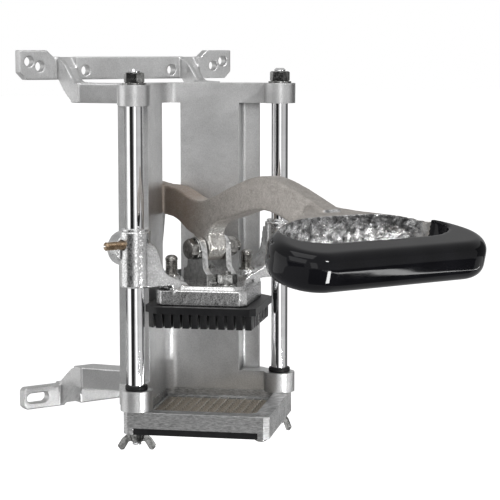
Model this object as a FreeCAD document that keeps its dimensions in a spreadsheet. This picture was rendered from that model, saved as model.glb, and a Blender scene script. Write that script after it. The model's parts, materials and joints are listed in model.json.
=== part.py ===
"""Wall-mounted vegetable dicer, built as a parametric FreeCAD document.

Frame: the origin is midway between the two inner bolt holes of the upper wall bracket, on the face that
meets the wall. +Y points into the wall, +X to the user's right and +Z up, so the user stands at -Y.
All sizes are in millimetres and live in the spreadsheet "Sizes".
"""
import FreeCAD
import Part
import Sketcher
import math
import os

from FreeCAD import Placement, Rotation, Vector

# alias, value, meaning
SIZES = [
    # guide rods and the square that the frame is laid out on
    ("rod_spacing", 184.0, "between the rod axes"),
    ("rod_line_y", -176.0, "rod axes, in front of the wall"),
    ("rod_diameter", 18.0, ""),
    ("top_stud_diameter", 12.6, "threaded upper end"),
    ("rod_washer", 2.0, "thickness"),
    ("rod_nut_height", 10.8, ""),
    ("low_stud_diameter", 9.6, "threaded lower end"),
    ("fit_gap", 0.05, "radial clearance of every fit"),
    # column casting
    ("chevron_inside", 87.5, "centre to the inner face, measured along X"),
    ("chevron_outside", 127.0, "centre to the outer face, measured along X"),
    ("chevron_cut", 93.0, "half width at which the arms are cut off"),
    ("chevron_back", 105.0, "depth of the flat that ends the back corner"),
    ("top_chevron_top", -13.0, ""),
    ("chevron_height", 21.7, ""),
    ("low_chevron_top", -331.0, ""),
    ("rod_boss_radius", 17.0, ""),
    ("inner_corner_radius", 13.0, ""),
    ("web_thickness", 11.3, "measured along X, so 8 square to the web"),
    ("web_end", 58.0, "half width at which the webs turn back"),
    ("flange_inside", 117.0, "centre to the set-back flange, measured along X"),
    ("flange_end", 86.0, "half width of the set-back flange"),
    ("slot_half_width", 11.7, "slot that the lever passes through"),
    ("slot_bottom", -262.0, ""),
    ("lug_thickness", 7.0, "lugs that carry the link"),
    # base
    ("base_half_diagonal", 109.56, "square plate turned 45 degrees"),
    ("base_chamfer", 3.7, ""),
    ("base_top", -352.8, ""),
    ("base_thickness", 17.2, ""),
    ("opening_side", 122.0, ""),
    ("opening_corner_radius", 9.0, ""),
    ("cartridge_thickness", 6.7, ""),
    ("cell_pitch", 9.525, "three eighths of an inch"),
    ("cell_count", 12.0, "cells along each side of the blade grid"),
    ("blade_thickness", 0.6, ""),
    ("blade_height", 11.0, ""),
    ("blade_top", -361.0, ""),
    ("corner_stud_reach", 96.0, "from the centre to the stud at the front corner"),
    # wall brackets
    ("wall_plate_thickness", 11.3, ""),
    ("leg_inside", 68.0, "half width to the inner side of a leg"),
    ("leg_outside", 93.0, "half width to the outer side of a leg"),
    ("rib_width", 5.0, "rib along the left side of each leg"),
    ("bolt_hole_diameter", 11.0, ""),
    ("upper_plate_half", 138.4, ""),
    ("lower_plate_half", 139.5, ""),
    ("lower_slot_x", 121.9, ""),
    ("lower_slot_z", -364.0, ""),
    ("lower_slot_length", 27.0, ""),
    # head
    ("head_top", -163.9, ""),
    ("head_height", 58.4, ""),
    ("head_boss_radius", 16.0, ""),
    ("bush_outer_diameter", 24.0, ""),
    ("block_top", -227.3, ""),
    ("platform_top", -223.5, "raised middle of the block"),
    ("block_bottom", -243.8, ""),
    ("block_half_diagonal", 69.0, ""),
    ("push_half_diagonal", 85.0, ""),
    ("push_half_width", 73.8, "the side corners are cut off to pass the rod bosses"),
    ("push_plate_thickness", 7.5, ""),
    ("tooth_length", 15.3, ""),
    ("tooth_gap", 2.6, ""),
    ("push_thread", 7.0, "depth of the tapped holes in the push block"),
    ("push_screw_x", 48.0, "half spacing of the tall cap screws"),
    ("push_screw_seat", -213.5, ""),
    ("push_stud_reach", 34.5, "from the rod line to the front and back studs"),
    ("clevis_screw_reach", 14.0, "from the rod line"),
    ("lock_screw_z", -178.0, ""),
    ("lock_screw_diameter", 9.0, ""),
    # lever pivot on the head, link anchor on the column, link pin in the tail
    ("pivot_z", -187.0, ""),
    ("pivot_diameter", 12.0, ""),
    ("anchor_y", -45.0, ""),
    ("anchor_z", -240.0, ""),
    ("tail_pin_y", -62.0, ""),
    ("tail_pin_z", -136.0, ""),
    ("link_pin_diameter", 10.0, ""),
    ("lever_thickness", 21.0, ""),
    ("tail_thickness", 14.0, ""),
    ("link_thickness", 3.4, ""),
    ("link_width", 24.0, ""),
    # D handle
    ("ring_y", -345.0, "where the handle's top plane starts"),
    ("ring_z", -118.0, ""),
    ("ring_tilt", 14.36, "degrees down towards the user"),
    ("ring_height", 33.0, "bare casting"),
    ("grip_wall", 2.5, "vinyl dip"),
    ("dip_line", 88.0, "where the dip starts, along the handle's plane"),
]

doc = FreeCAD.newDocument("vegetable_dicer")
sheet = doc.addObject("Spreadsheet::Sheet", "Sizes")
for row, (alias, value, note) in enumerate(SIZES, start=1):
    sheet.set(f"A{row}", alias)
    sheet.set(f"B{row}", str(value))
    sheet.set(f"C{row}", note)
    sheet.setAlias(f"B{row}", alias)
doc.recompute()

NODES = []


# ---------------------------------------------------------------- sizes that keep their expression
class Term:
    """A number together with the spreadsheet expression that it comes from."""

    def __init__(self, value, text):
        self.value = float(value)
        self.text = text

    def __add__(self, other):
        other = term(other)
        return Term(self.value + other.value, f"({self.text} + {other.text})")

    def __sub__(self, other):
        other = term(other)
        return Term(self.value - other.value, f"({self.text} - {other.text})")

    def __mul__(self, other):
        other = term(other)
        return Term(self.value * other.value, f"({self.text} * {other.text})")

    def __truediv__(self, other):
        other = term(other)
        return Term(self.value / other.value, f"({self.text} / {other.text})")

    def __neg__(self):
        return term(0) - self

    __radd__ = __add__
    __rmul__ = __mul__

    def __rsub__(self, other):
        return term(other) - self


def term(number):
    return number if isinstance(number, Term) else Term(number, f"{float(number):.4f}")


def size(alias):
    """The named cell, as a Term."""
    return Term(getattr(sheet, alias), f"Sizes.{alias}")


def bind(feature, prop, number):
    number = term(number)
    feature.setExpression(prop, number.text)


def place(feature, at, rotation=None):
    """Bind a feature's position to the sheet and turn it."""
    feature.Placement = Placement(Vector(0, 0, 0), rotation or Rotation())
    for axis, number in zip("xyz", at):
        bind(feature, f"Placement.Base.{axis}", number)
    return feature


TURN_45 = Rotation(Vector(0, 0, 1), 45)
ALONG_X = Rotation(Vector(0, 1, 0), 90)
ALONG_Y = Rotation(Vector(1, 0, 0), -90)

ROD_X = size("rod_spacing") / 2
ROD_Y = size("rod_line_y")
GAP = size("fit_gap")
TOP_FACE = size("top_chevron_top")
WASHER = size("rod_washer")
NUT_HEIGHT = size("rod_nut_height")
CARTRIDGE_TOP = size("base_top") - size("base_thickness")
GRID_HALF = size("cell_pitch") * size("cell_count") / 2
STUD_REACH = size("corner_stud_reach")


# ---------------------------------------------------------------- building blocks
def box(name, length, width, height, at, rotation=None, centred=False):
    """A box with its low corner, or the middle of its low face, at a point."""
    solid = doc.addObject("Part::Box", name)
    bind(solid, "Length", length)
    bind(solid, "Width", width)
    bind(solid, "Height", height)
    if not centred:
        return place(solid, at, rotation)
    half = Vector(term(length).value / 2, term(width).value / 2, 0)
    offset = (rotation or Rotation()).multVec(half)
    corner = (term(at[0]) - offset.x, term(at[1]) - offset.y, at[2])
    return place(solid, corner, rotation)


def cylinder(name, diameter, height, at, rotation=None):
    solid = doc.addObject("Part::Cylinder", name)
    bind(solid, "Radius", term(diameter) / 2)
    bind(solid, "Height", height)
    return place(solid, at, rotation)


def cone(name, low_radius, high_radius, height, at, rotation=None):
    solid = doc.addObject("Part::Cone", name)
    bind(solid, "Radius1", low_radius)
    bind(solid, "Radius2", high_radius)
    bind(solid, "Height", height)
    return place(solid, at, rotation)


def hexagon(name, across_flats, height, at, rotation=None):
    solid = doc.addObject("Part::Prism", name)
    solid.Polygon = 6
    bind(solid, "Circumradius", term(across_flats) / math.sqrt(3))
    bind(solid, "Height", height)
    return place(solid, at, rotation)


def fuse(name, *shapes):
    joined = doc.addObject("Part::MultiFuse", name)
    joined.Shapes = list(shapes)
    joined.Refine = True
    return joined


def cut(name, base, *tools):
    tool = tools[0] if len(tools) == 1 else fuse(f"{name}_tools", *tools)
    result = doc.addObject("Part::Cut", name)
    result.Base = base
    result.Tool = tool
    result.Refine = True
    return result


def profile(name, plane, points, depth, at, rotation=None, rounded=(), radius=1.0):
    """A PartDesign body: a polygon on an origin plane, padded, with chosen corners rounded.

    The plane is "XY", "XZ" or "YZ". Each point is a pair of Terms or numbers. "rounded" lists the
    indices of the polygon's corners whose pad edges get the radius.
    """
    body = doc.addObject("PartDesign::Body", name)
    sketch = body.newObject("Sketcher::SketchObject", f"{name}_sketch")
    origin = [f for f in body.Origin.OriginFeatures if f.Role == f"{plane}_Plane"][0]
    sketch.AttachmentSupport = [(origin, "")]
    sketch.MapMode = "FlatFace"
    flat = [(term(u), term(v)) for u, v in points]
    count = len(flat)
    for index in range(count):
        start = Vector(flat[index][0].value, flat[index][1].value, 0)
        end_pair = flat[(index + 1) % count]
        end = Vector(end_pair[0].value, end_pair[1].value, 0)
        sketch.addGeometry(Part.LineSegment(start, end), False)
    for index in range(count):
        sketch.addConstraint(Sketcher.Constraint("Coincident", index, 2, (index + 1) % count, 1))
    for index, pair in enumerate(flat):
        for kind, number in zip(("DistanceX", "DistanceY"), pair):
            ends = (-1, 1, index, 1)
            if number.value < 0:
                ends = (index, 1, -1, 1)
                number = -number
            which = sketch.addConstraint(Sketcher.Constraint(kind, *ends, number.value))
            sketch.setExpression(f"Constraints[{which}]", number.text)
    pad = body.newObject("PartDesign::Pad", f"{name}_pad")
    pad.Profile = sketch
    bind(pad, "Length", depth)
    doc.recompute()
    if rounded:
        corners = [sketch.Placement.multVec(Vector(flat[i][0].value, flat[i][1].value, 0)) for i in rounded]
        normal = sketch.Placement.Rotation.multVec(Vector(0, 0, 1))
        edges = [f"Edge{number}" for number, edge in enumerate(pad.Shape.Edges, start=1)
                 if edge_stands_on(edge, corners, normal)]
        fillet = body.newObject("PartDesign::Fillet", f"{name}_fillet")
        fillet.Base = (pad, edges)
        bind(fillet, "Radius", radius)
        body.Tip = fillet
        doc.recompute()
    return place(body, at, rotation)


def edge_stands_on(edge, corners, normal):
    """True for an edge along the pad's direction through one of the corners."""
    first, last = edge.Vertexes[0].Point, edge.Vertexes[-1].Point
    along = last - first
    if along.Length < 1e-6 or abs(along.normalize().dot(normal)) < 0.999:
        return False
    for corner in corners:
        across = (first - corner) - normal * (first - corner).dot(normal)
        if across.Length < 1e-4:
            return True
    return False


def free_shape(name, shape):
    """A feature whose shape is worked out here, for freeform castings and repeated groups."""
    feature = doc.addObject("Part::Feature", name)
    feature.Shape = shape
    return feature


def group(label, pattern, moves):
    """Copies of one feature as separate solids in one node."""
    doc.recompute()
    solids = []
    for move in moves:
        copy = pattern.Shape.copy()
        copy.Placement = move.multiply(copy.Placement)
        solids.extend(copy.Solids)
    return node(label, free_shape(label, Part.makeCompound(solids)))


def node(label, feature):
    """Give a finished sub-part the label that names its file."""
    feature.Label = label
    NODES.append(feature)
    return feature


def shifted(x=0, y=0, z=0, turn=0):
    return Placement(Vector(x, y, z), Rotation(Vector(0, 0, 1), turn))


# ---------------------------------------------------------------- column casting
def diamond(reach, chamfer):
    """Plan corners, about the centre, of a square turned 45 degrees with small corner flats."""
    far = reach - chamfer
    return [(chamfer, -far), (far, -chamfer), (far, chamfer), (chamfer, far),
            (-chamfer, far), (-far, chamfer), (-far, -chamfer), (-chamfer, -far)]


def chevron(name, top):
    """V-shaped bar around the back corner, with a boss at each guide rod."""
    inside, outside = size("chevron_inside"), size("chevron_outside")
    edge, back = size("chevron_cut"), size("chevron_back")
    outline = [(0, inside), (edge, inside - edge), (edge, outside - edge), (outside - back, back),
               (-(outside - back), back), (-edge, outside - edge), (-edge, inside - edge)]
    low = term(top) - size("chevron_height")
    bar = profile(f"{name}_bar", "XY", outline, size("chevron_height"), (0, ROD_Y, low),
                  rounded=[0], radius=size("inner_corner_radius"))
    bosses = [cylinder(f"{name}_boss_{side}", size("rod_boss_radius") * 2, size("chevron_height"),
                       (x, ROD_Y, low)) for side, x in (("left", -ROD_X), ("right", ROD_X))]
    return [bar, *bosses]


def web(name, side):
    """One wall of the column: a web beside the slot, a step back, and a flange along the outer side."""
    inside = size("chevron_inside")
    back = inside + size("web_thickness")
    half_web = size("web_thickness") / 2
    slot, turn, end = size("slot_half_width"), size("web_end"), size("flange_end")
    front_flange = size("flange_inside")
    back_flange = size("chevron_outside")
    outline = [
        (slot, inside - slot),
        (turn, inside - turn),
        (turn + (front_flange - inside) / 2, front_flange - turn - (front_flange - inside) / 2),
        (end, front_flange - end),
        (end + (back_flange - front_flange) / 2, back_flange - end - (back_flange - front_flange) / 2),
        (turn + (back_flange - inside) / 2 - half_web,
         back_flange - turn - (back_flange - inside) / 2 + half_web),
        (turn - half_web / 2, back - turn + half_web / 2),
        (slot + half_web, inside - slot + half_web),
    ]
    if side < 0:
        outline = [(-term(x), y) for x, y in outline]
    low = size("low_chevron_top")
    height = size("top_chevron_top") - size("chevron_height") - low
    return profile(name, "XY", outline, height, (0, ROD_Y, low), rounded=[2, 6], radius=4.0)


def corner_wall():
    """The webs joined round the back corner, below the slot."""
    inside = size("chevron_inside")
    back = inside + size("web_thickness")
    half_web = size("web_thickness") / 2
    reach = size("slot_half_width") + 6
    outline = [(0, inside), (reach, inside - reach), (reach + half_web, inside - reach + half_web),
               (0, back), (-(reach + half_web), inside - reach + half_web), (-reach, inside - reach)]
    low = size("low_chevron_top")
    return profile("corner_wall", "XY", outline, size("slot_bottom") - low, (0, ROD_Y, low),
                   rounded=[0], radius=size("inner_corner_radius"))


def link_lug(name, x):
    """A lug behind the column that carries one end of the link's anchor bolt."""
    y, z = size("anchor_y"), size("anchor_z")
    reach = 12.0
    outline = [(-93.0, z + 20), (y, z + reach), (y + reach * 0.8, z + reach * 0.6), (y + reach, z),
               (y + reach * 0.8, z - reach * 0.6), (y, z - reach), (-80.0, z - 50), (-89.5, z - 60),
               (-93.0, z - 40)]
    return profile(name, "YZ", outline, size("lug_thickness"), (x, 0, 0))


def column_casting():
    slot, lug = size("slot_half_width"), size("lug_thickness")
    solids = chevron("top_chevron", size("top_chevron_top"))
    solids += chevron("low_chevron", size("low_chevron_top"))
    solids += [web("right_web", 1), web("left_web", -1), corner_wall()]
    solids += [link_lug("right_lug", slot), link_lug("left_lug", -slot - lug)]
    stud_hole = size("top_stud_diameter") + GAP * 2
    rod_hole = size("rod_diameter") + GAP * 2
    reach = size("chevron_height") + 2
    bores = []
    for side, x in (("left", -ROD_X), ("right", ROD_X)):
        top = size("top_chevron_top") - size("chevron_height") - 1
        bores.append(cylinder(f"{side}_stud_hole", stud_hole, reach, (x, ROD_Y, top)))
        low = size("low_chevron_top") - size("chevron_height") - 1
        bores.append(cylinder(f"{side}_rod_hole", rod_hole, reach, (x, ROD_Y, low)))
    anchor = cylinder("anchor_hole", size("link_pin_diameter") + GAP * 2, 60.0,
                      (-30.0, size("anchor_y"), size("anchor_z")), ALONG_X)
    node("column_casting", cut("column", fuse("column_solid", *solids), *bores, anchor))


# ---------------------------------------------------------------- wall brackets
def legs(label, rib_outline, web_outline):
    """Two legs that swing from the wall plate to the height of the arms: a rib and a lower web each."""
    rib, width = size("rib_width"), size("leg_outside") - size("leg_inside")
    solids = []
    for tag, x in (("left", -size("leg_outside")), ("right", size("leg_inside"))):
        solids.append(profile(f"{label}_{tag}_rib", "YZ", rib_outline, rib, (x, 0, 0)))
        solids.append(profile(f"{label}_{tag}_web", "YZ", web_outline, width - rib, (x + rib, 0, 0)))
    return solids


def plate_wedges(label, outline):
    """What the webs leave open in the wall plate."""
    width = size("leg_outside") - size("leg_inside") - size("rib_width")
    left = size("rib_width") - size("leg_outside")
    right = size("rib_width") + size("leg_inside")
    return [profile(f"{label}_{tag}_wedge", "YZ", outline, width, (x, 0, 0))
            for tag, x in (("left", left), ("right", right))]


def arm(name, side, low, height):
    """The level arm that runs forward and inward from a leg to the column."""
    outer, inner = size("leg_outside"), size("leg_inside")
    face = ROD_Y + size("chevron_outside")
    start, bend = -42.0, -54.0
    run, rise = 28.0, 41.0
    outer_step = (term(bend) + outer - face) / (run + rise)
    inner_step = (term(start) + inner - face) / (run + rise)
    outline = [(outer, start), (outer, bend),
               (outer - outer_step * run, term(bend) - outer_step * rise),
               (inner - inner_step * run, term(start) - inner_step * rise),
               (inner, start)]
    if side < 0:
        outline = [(-x, y) for x, y in outline]
    return profile(name, "XY", outline, height, (0, 0, low))


def wall_bracket(label, plate, leg_solids, arm_low, arm_height, holes):
    """Wall plate, two legs and two arms in one casting."""
    arms = [arm(f"{label}_{tag}_arm", side, arm_low, arm_height)
            for tag, side in (("left", -1), ("right", 1))]
    node(label, cut(f"{label}_cut", fuse(f"{label}_solid", plate, *leg_solids, *arms), *holes))


def bolt_hole(name, x, z):
    return cylinder(name, size("bolt_hole_diameter"), size("wall_plate_thickness") + 4,
                    (x, -size("wall_plate_thickness") - 2, z), ALONG_Y)


def upper_wall_bracket():
    half, thick = size("upper_plate_half"), size("wall_plate_thickness")
    low, strip_top, tab_top = -10.0, 15.3, 22.5
    right = [(half - 8, low), (half, low + 8), (half, tab_top), (105.0, tab_top), (97.0, strip_top)]
    left = [(-term(x), z) for x, z in reversed(right)]
    blank = profile("upper_plate_blank", "XZ", right + left, thick, (0, 0, 0))
    web_step = 3.0
    wedges = plate_wedges("upper", [(0, strip_top), (-thick - 1, web_step), (-thick - 1, strip_top + 5),
                                    (0, strip_top + 5)])
    plate = cut("upper_plate", blank, *wedges)
    under = [(-57.0, -34.7), (-48.0, -33.6), (-38.0, -30.5), (-27.0, -22.0), (-14.4, -10.0), (0, -10.0)]
    rib = [(0, 13.7), (-thick, 13.7), (-20.0, 11.8), (-28.0, 7.0), (-43.7, -8.0), (-50.0, -12.0),
           (-57.0, -13.0)]
    web = [(0, strip_top), (-thick, web_step), (-23.0, -9.5), (-30.0, -12.2), (-57.0, -13.0)]
    leg_solids = legs("upper", rib + under, web + under)
    holes = []
    for pair, (x, z) in enumerate(((56.4, 0.0), (113.7, 4.7), (127.0, 10.0)), start=1):
        holes.append(bolt_hole(f"upper_hole_{pair}_left", -x, z))
        holes.append(bolt_hole(f"upper_hole_{pair}_right", x, z))
    wall_bracket("upper_wall_bracket", plate, leg_solids, size("top_chevron_top") - size("chevron_height"),
                 size("chevron_height"), holes)


def lower_wall_bracket():
    half, thick = size("lower_plate_half"), size("wall_plate_thickness")
    low, top = -376.4, -351.4
    corner = 4.0
    outline = [(half - corner, low), (half, low + corner), (half, top - corner), (half - corner, top),
               (-(half - corner), top), (-half, top - corner), (-half, low + corner), (-(half - corner), low)]
    blank = profile("lower_plate_blank", "XZ", outline, thick, (0, 0, 0))
    web_step = -364.0
    wedges = plate_wedges("lower", [(0, low), (-thick - 1, web_step), (-thick - 1, low - 5), (0, low - 5)])
    plate = cut("lower_plate", blank, *wedges)
    over = [(0, -350.0), (-9.5, -348.4), (-24.0, -338.0), (-35.6, -330.0), (-47.0, -326.5), (-57.0, -326.0)]
    rib = [(-57.0, -349.5), (-50.0, -349.0), (-44.0, -346.8), (-thick, low), (0, low)]
    web = [(-57.0, -349.5), (-30.0, -350.0), (-24.0, -352.0), (-thick, web_step), (0, low)]
    leg_solids = legs("lower", over + rib, over + web)
    holes = []
    slot_x, slot_z = size("lower_slot_x"), size("lower_slot_z")
    hole = size("bolt_hole_diameter")
    straight = size("lower_slot_length") - hole
    for tag, x in (("left", -slot_x), ("right", slot_x)):
        holes.append(box(f"slot_{tag}_middle", straight, thick + 4, hole,
                         (x - straight / 2, -thick - 2, slot_z - hole / 2)))
        for end in (-1, 1):
            holes.append(cylinder(f"slot_{tag}_{end}", hole, thick + 4,
                                  (x + straight / 2 * end, -thick - 2, slot_z), ALONG_Y))
    wall_bracket("lower_wall_bracket", plate, leg_solids, term(-349.5), term(23.5), holes)


# ---------------------------------------------------------------- base and blade cartridge
def base_plate():
    low = size("base_top") - size("base_thickness")
    plate = profile("base_solid", "XY", diamond(size("base_half_diagonal"), size("base_chamfer")),
                    size("base_thickness"), (0, ROD_Y, low))
    side = size("opening_side") / 2
    corners = [(side, side), (-side, side), (-side, -side), (side, -side)]
    opening = profile("base_opening", "XY", corners, size("base_thickness") + 2, (0, ROD_Y, low - 1),
                      TURN_45, rounded=[0, 1, 2, 3], radius=size("opening_corner_radius"))
    holes = [cylinder(f"base_hole_{tag}", size("low_stud_diameter") + GAP * 2, size("base_thickness") + 2,
                      (x, ROD_Y, low - 1)) for tag, x in (("left", -ROD_X), ("right", ROD_X))]
    screw_hole = cylinder("base_screw_hole", 6.0 + GAP * 2, size("base_thickness") + 2,
                          (0, ROD_Y - STUD_REACH, low - 1))
    sink = cone("base_screw_sink", 3.0 + GAP, 5.5 + GAP, 2.5,
                (0, ROD_Y - STUD_REACH, size("base_top") - 2.5))
    node("base_plate", cut("base", plate, opening, *holes, screw_hole, sink))


def blade_cartridge():
    """Metal frame under the base plate, with a raised square ring that holds the blades."""
    low = CARTRIDGE_TOP - size("cartridge_thickness")
    plate = profile("cartridge_solid", "XY", diamond(size("base_half_diagonal"), size("base_chamfer")),
                    size("cartridge_thickness"), (0, ROD_Y, low))
    ring_side = GRID_HALF * 2 + 6
    half = ring_side / 2
    ring = profile("cartridge_ring", "XY", [(half, half), (-half, half), (-half, -half), (half, -half)],
                   size("blade_top") - CARTRIDGE_TOP, (0, ROD_Y, CARTRIDGE_TOP), TURN_45,
                   rounded=[0, 1, 2, 3], radius=size("opening_corner_radius"))
    well = box("cartridge_well", GRID_HALF * 2, GRID_HALF * 2, 40.0, (0, ROD_Y, low - 1), TURN_45,
               centred=True)
    strips = strip_boxes("strip_recess", low - 1, size("cartridge_thickness") + 1, 0.0)
    holes = [cylinder(f"cartridge_hole_{tag}", size("low_stud_diameter") + 1, 20.0, (x, ROD_Y, low - 1))
             for tag, x in (("left", -ROD_X), ("right", ROD_X))]
    screw_hole = cylinder("cartridge_screw_hole", 6.4, 20.0, (0, ROD_Y - STUD_REACH, low - 1))
    body = fuse("cartridge_body", plate, ring)
    node("blade_cartridge", cut("cartridge", body, well, *strips, *holes, screw_hole))


def strip_boxes(name, low, height, ease):
    """The two bars along the front-left and back-right sides of the cartridge."""
    depth, length = 6.5, 132.0
    reach = size("base_half_diagonal") / math.sqrt(2) - depth / 2
    bars = []
    for tag, way in (("front", -1), ("back", 1)):
        centre = reach * way / math.sqrt(2)
        bars.append(box(f"{name}_{tag}", depth - ease, length - ease, height,
                        (centre, ROD_Y + centre, low), TURN_45, centred=True))
    return bars


def blade_strips():
    low = CARTRIDGE_TOP - size("cartridge_thickness")
    bars = strip_boxes("blade_strip", low, size("cartridge_thickness"), 0.2)
    group("blade_strips", fuse("blade_strip_pair", *bars), [shifted()])


def blade_grid():
    """Two sets of blades, half-lapped where they cross."""
    count = int(size("cell_count").value) - 1
    pitch, thick, high = size("cell_pitch"), size("blade_thickness"), size("blade_height")
    length = GRID_HALF * 2 - GAP * 2
    low = size("blade_top") - high
    half = high / 2
    slot = thick + 0.2
    for label, turn, slot_low in (("long_blades", 45, low - 1), ("cross_blades", 135, low + half)):
        spin = Rotation(Vector(0, 0, 1), turn)
        blade = box(f"{label}_blank", length, thick, high, (0, ROD_Y, low), spin, centred=True)
        slots = []
        for index in range(count):
            along = (index - (count - 1) / 2) * pitch.value
            spot = spin.multVec(Vector(along, 0, 0))
            slots.append(box(f"{label}_slot_{index}", slot, thick * 4, half + 1,
                             (spot.x, ROD_Y + spot.y, slot_low), spin, centred=True))
        single = cut(f"{label}_single", blade, *slots)
        moves = []
        for index in range(count):
            across = spin.multVec(Vector(0, (index - (count - 1) / 2) * pitch.value, 0))
            moves.append(shifted(across.x, across.y))
        group(label, single, moves)


def corner_stud():
    """Countersunk stud at the front corner; its round head holds up the cartridge."""
    y = ROD_Y - STUD_REACH
    low = CARTRIDGE_TOP - size("cartridge_thickness")
    shank = cylinder("stud_shank", 6.0, size("base_top") - low, (0, y, low))
    sink = cone("stud_sink", 3.0, 5.5, 2.5, (0, y, size("base_top") - 2.5))
    button = cylinder("stud_button", 13.0, 1.8, (0, y, low - 1.8))
    dome = cone("stud_dome", 4.0, 6.5, 1.6, (0, y, low - 3.4))
    node("corner_stud", fuse("corner_stud_solid", shank, sink, button, dome))


# ---------------------------------------------------------------- rods and their hardware
def guide_rods():
    """Ground rods with a shoulder under the top boss and threaded ends."""
    shoulder = TOP_FACE - size("chevron_height")
    rod_low = size("base_top")
    stud_low = CARTRIDGE_TOP - size("cartridge_thickness") - 13
    tip = 2.0
    for side, x in (("left", -ROD_X), ("right", ROD_X)):
        stud_top = TOP_FACE + WASHER + NUT_HEIGHT + 1.5
        radius = size("top_stud_diameter") / 2
        pieces = [
            cylinder(f"{side}_rod_shaft", size("rod_diameter"), shoulder - rod_low, (x, ROD_Y, rod_low)),
            cylinder(f"{side}_rod_stud", radius * 2, stud_top - shoulder, (x, ROD_Y, shoulder)),
            cone(f"{side}_rod_tip", radius, radius - tip, tip, (x, ROD_Y, stud_top)),
            cylinder(f"{side}_rod_tail", size("low_stud_diameter"), rod_low - stud_low, (x, ROD_Y, stud_low)),
        ]
        node(f"guide_rod_{side}", fuse(f"{side}_rod_solid", *pieces))


def rod_hardware():
    """Nuts and washers on top, rubber collars that stop the head at the bottom."""
    both = [shifted(x=-ROD_X.value), shifted(x=ROD_X.value)]
    stud = size("top_stud_diameter") + GAP * 2
    nut = hexagon("rod_nut_hex", 19.0, NUT_HEIGHT, (0, ROD_Y, TOP_FACE + WASHER))
    round_off = cone("rod_nut_round", 22.5, 9.8, 12.7, (0, ROD_Y, TOP_FACE + WASHER - 1))
    bore = cylinder("rod_nut_bore", stud, 20.0, (0, ROD_Y, TOP_FACE - 1))
    chamfered = doc.addObject("Part::Common", "rod_nut_chamfered")
    chamfered.Base, chamfered.Tool = nut, round_off
    group("rod_nuts", cut("rod_nut", chamfered, bore), both)
    disc = cylinder("rod_washer_disc", 25.0, WASHER, (0, ROD_Y, TOP_FACE))
    hole = cylinder("rod_washer_hole", stud, 20.0, (0, ROD_Y, TOP_FACE - 1))
    group("rod_washers", cut("rod_washer", disc, hole), both)
    low = size("low_chevron_top")
    tyre = cylinder("collar_tyre", 23.6, 5.1, (0, ROD_Y, low))
    eye = cylinder("collar_eye", size("rod_diameter") + GAP * 2, 20.0, (0, ROD_Y, low - 1))
    group("bump_collars", cut("collar", tyre, eye), both)


def wing_nuts():
    """Wing nuts under the cartridge, one body each because each one turns."""
    top = CARTRIDGE_TOP - size("cartridge_thickness") - 0.1
    for side, x, turn in (("left", -ROD_X, -34.0), ("right", ROD_X, 94.0)):
        hub = cone(f"{side}_wing_hub", 5.9, 8.2, 9.5, (0, 0, -9.5))
        outline = [(3.0, -1.0), (9.0, -0.6), (15.5, -6.0), (20.5, -14.0), (17.0, -18.5), (13.5, -18.0),
                   (8.5, -9.5), (3.0, -8.5)]
        right_wing = profile(f"{side}_wing_a", "XZ", outline, 3.0, (0, 1.5, 0), rounded=[3, 4, 5], radius=1.4)
        mirrored = [(-u, v) for u, v in outline]
        left_wing = profile(f"{side}_wing_b", "XZ", mirrored, 3.0, (0, 1.5, 0), rounded=[3, 4, 5], radius=1.4)
        bore = cylinder(f"{side}_wing_bore", size("low_stud_diameter") + GAP * 2, 20.0, (0, 0, -15.0))
        nut = cut(f"{side}_wing_nut_body", fuse(f"{side}_wing_solid", hub, right_wing, left_wing), bore)
        place(nut, (x, ROD_Y, top), Rotation(Vector(0, 0, 1), turn))
        node(f"wing_nut_{side}", nut)


# ---------------------------------------------------------------- head
# wings in front view, from the rod boss down to the block
LEFT_WING = [(-86.5, -176.0), (-81.0, -176.7), (-75.7, -180.6), (-71.5, -188.8), (-69.0, -197.3)]
RIGHT_WING = [(80.0, -170.0), (78.5, -178.0), (77.5, -187.0), (75.5, -194.0), (71.0, -201.5)]
WING_FOOT = [(65.5, -205.8), (59.7, -211.3), (51.5, -215.2), (44.0, -217.5), (38.0, -221.0), (33.0, -227.0),
             (33.0, -233.0), (54.6, -231.4), (57.0, -222.6)]
PUSH_STUDS = [("front", ROD_Y - size("push_stud_reach")), ("back", ROD_Y + size("push_stud_reach"))]
PUSH_SCREWS = [("left", -size("push_screw_x")), ("right", size("push_screw_x"))]
PUSH_HOLES = [(tag, term(0), y) for tag, y in PUSH_STUDS] + [(tag, x, ROD_Y) for tag, x in PUSH_SCREWS]
CLEVIS_SCREWS = [("front", ROD_Y - size("clevis_screw_reach")), ("back", ROD_Y + size("clevis_screw_reach"))]
M6, M8 = 6.0, 8.0


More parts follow.
